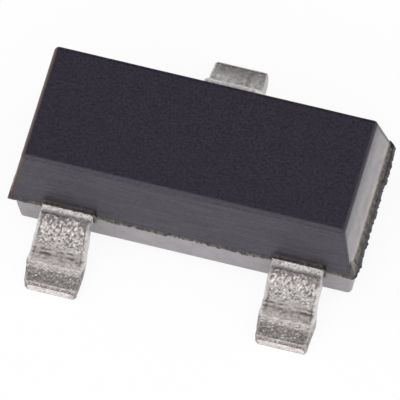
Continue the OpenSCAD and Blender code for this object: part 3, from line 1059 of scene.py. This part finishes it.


# How each lead differs. Profiles are pairs of a place, counted from the riser's start, and a
# value there: plus and minus are how much wider each side is, and pale is how far the plating is
# painted white as a highlight and made less metallic. Lean is how far root and tip lie sideways,
# fine and crease set the crumpling's scale and start, waves shifts the tool lines, and the rest is
# how strongly each mark shows.
FRONT_LOOK = {
    "pale": ((-0.13, 0.95), (-0.112, 0.9), (-0.095, 0.5), (-0.085, 0), (0.34, 0), (0.40, 0.22),
             (0.579, 0.22)),
    "lines": 1.0, "grit": 1.0, "streak": 0.0, "sides": 1.0}
LOOKS = {
    "anode_lead": {
        **FRONT_LOOK, "lean": (-0.006, 0.006), "fine": 1.0, "crease": 0.012, "waves": 0.0,
        "plus": ((-0.13, 0), (0, 0.006), (0.10, 0.016), (0.17, 0.022), (0.25, 0.026), (0.30, 0.036),
                 (0.33, 0.043), (0.38, 0.041), (0.45, 0.030), (0.50, 0.020), (0.545, 0.016), (0.579, 0.002)),
        "minus": ((-0.13, 0), (0, 0.006), (0.28, 0.007), (0.33, 0.008), (0.45, 0.004), (0.579, 0)),
        "rough": 1.0, "tint": 1.0},
    "unconnected_lead": {
        **FRONT_LOOK, "lean": (-0.007, 0.0), "fine": 1.2, "crease": 0.017, "waves": -0.004,
        "plus": ((-0.13, 0), (0, 0.006), (0.17, 0.010), (0.25, 0.017), (0.307, 0.029), (0.37, 0.027),
                 (0.435, 0.022), (0.49, 0.012), (0.54, 0.006), (0.579, 0)),
        "minus": ((-0.13, 0.004), (-0.07, 0.018), (0, 0.019), (0.05, 0.012), (0.15, 0.005), (0.22, 0.006),
                  (0.28, 0.009), (0.32, 0.013), (0.37, 0.015), (0.42, 0.006), (0.53, 0.001), (0.579, 0.003)),
        "rough": 0.9, "tint": 1.1},
    "cathode_lead": {
        "pale": ((-0.13, 1.0), (0.1, 1.0), (0.25, 1.0), (0.35, 0.9), (0.42, 0.75), (0.47, 0.42),
                 (0.53, 0.05)),
        "lines": 0.15, "grit": 0.4, "streak": 1.1, "sides": 0.35,
        "lean": (0.0, 0.0), "fine": 1.0, "crease": 0.010, "waves": 0.0,
        "plus": ((-0.13, 0.016), (0, 0.026), (0.3, 0.026), (0.5, 0.024), (0.579, 0.014)),
        "minus": ((-0.13, -0.018), (-0.05, 0.0), (0.2, 0.032), (0.307, 0.034), (0.42, 0.024), (0.5, 0.014),
                  (0.579, 0.006)),
        "rough": 0.3, "tint": 0.0},
}


# Floor, world and lamp

FLOOR_HALF = 400.0
FLOOR_COLOUR = (0.97, 0.97, 0.97)
WHITE_SHARE = 0.9
WORLD_STRENGTH = 1.15
GAP_DIRECTION = (-0.105, 0.785, 0.610)
GAP_INNER = math.radians(33)
GAP_OUTER = math.radians(43)
GAP_COLOUR = (0.05, 0.05, 0.055)
LAMP_AIM_HEIGHT = 0.5
KEY_DIRECTION = (-0.25, -0.58, 0.78)
KEY_DISTANCE = 40
KEY_SIZE = 56
KEY_POWER = 0.0027


def floor_material():
    """White to the camera, reflections and views through glass, and matte to the light."""
    material = bpy.data.materials.new("pale_floor")
    m = Tree(material)
    m.nodes.clear()
    path = m.node("LightPath").outputs
    seen = m.math("MAXIMUM", path["Is Camera Ray"], path["Is Glossy Ray"])
    seen = m.math("MAXIMUM", seen, path["Is Transmission Ray"])
    diffuse = m.node("BsdfDiffuse", Color=FLOOR_COLOUR)
    glow = m.node("Emission", Color=(1, 1, 1), Strength=1.0)
    blend = m.node("MixShader", Fac=m.math("MULTIPLY", seen, WHITE_SHARE))
    m.fill(blend.inputs[1], diffuse.outputs[0])
    m.fill(blend.inputs[2], glow.outputs[0])
    m.node("OutputMaterial", Surface=blend.outputs[0])
    return material


def make_floor():
    h = FLOOR_HALF
    corners = [(-h, -h, 0), (h, -h, 0), (h, h, 0), (-h, h, 0)]
    floor = make_object("floor", corners, [(0, 1, 2, 3)], smooth=False)
    floor.data.materials.append(floor_material())


def make_world():
    """A white tent with one dark gap, which the part's level faces reflect to the camera."""
    world = bpy.data.worlds.new("studio")
    bpy.context.scene.world = world
    w = Tree(world)
    towards_gap = w.node("VectorMath")
    towards_gap.operation = "DOT_PRODUCT"
    w.fill(towards_gap.inputs[0], w.node("TexCoord").outputs["Generated"])
    w.fill(towards_gap.inputs[1], Vector(GAP_DIRECTION).normalized())
    places = (math.cos(GAP_OUTER), math.cos(GAP_INNER))
    tent = w.ramp(towards_gap.outputs["Value"], places, ((1, 1, 1), GAP_COLOUR))
    w.set(w.nodes["Background"], Color=tent, Strength=WORLD_STRENGTH)


def make_lamp():
    """A soft round lamp that looks at the middle of the part."""
    data = bpy.data.lights.new("soft_key", "AREA")
    data.shape = "DISK"
    data.size = KEY_SIZE * MM
    data.energy = KEY_POWER
    lamp = bpy.data.objects.new("soft_key", data)
    towards = Vector(KEY_DIRECTION).normalized()
    lamp.location = (towards * KEY_DISTANCE + Vector((0, 0, LAMP_AIM_HEIGHT))) * MM
    lamp.rotation_mode = "QUATERNION"
    lamp.rotation_quaternion = towards.to_track_quat("Z", "Y")
    bpy.context.scene.collection.objects.link(lamp)


# The pieces and the scene

def add_piece(obj, material, node):
    """Gives a piece its material and its place in the frame."""
    obj.data.materials.append(material)
    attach(obj, "root")
    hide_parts(node)


make_camera()
resin = resin_material()
tin = tin_material()
add_piece(make_body(), resin, "body")
for number, (node, look) in enumerate(LOOKS.items()):
    add_piece(make_lead("tinned_" + node, node, 10 * number, look), tin, node)
dress_inner_nodes()
make_floor()
make_world()
make_lamp()
bpy.context.scene.view_settings.view_transform = "Standard"
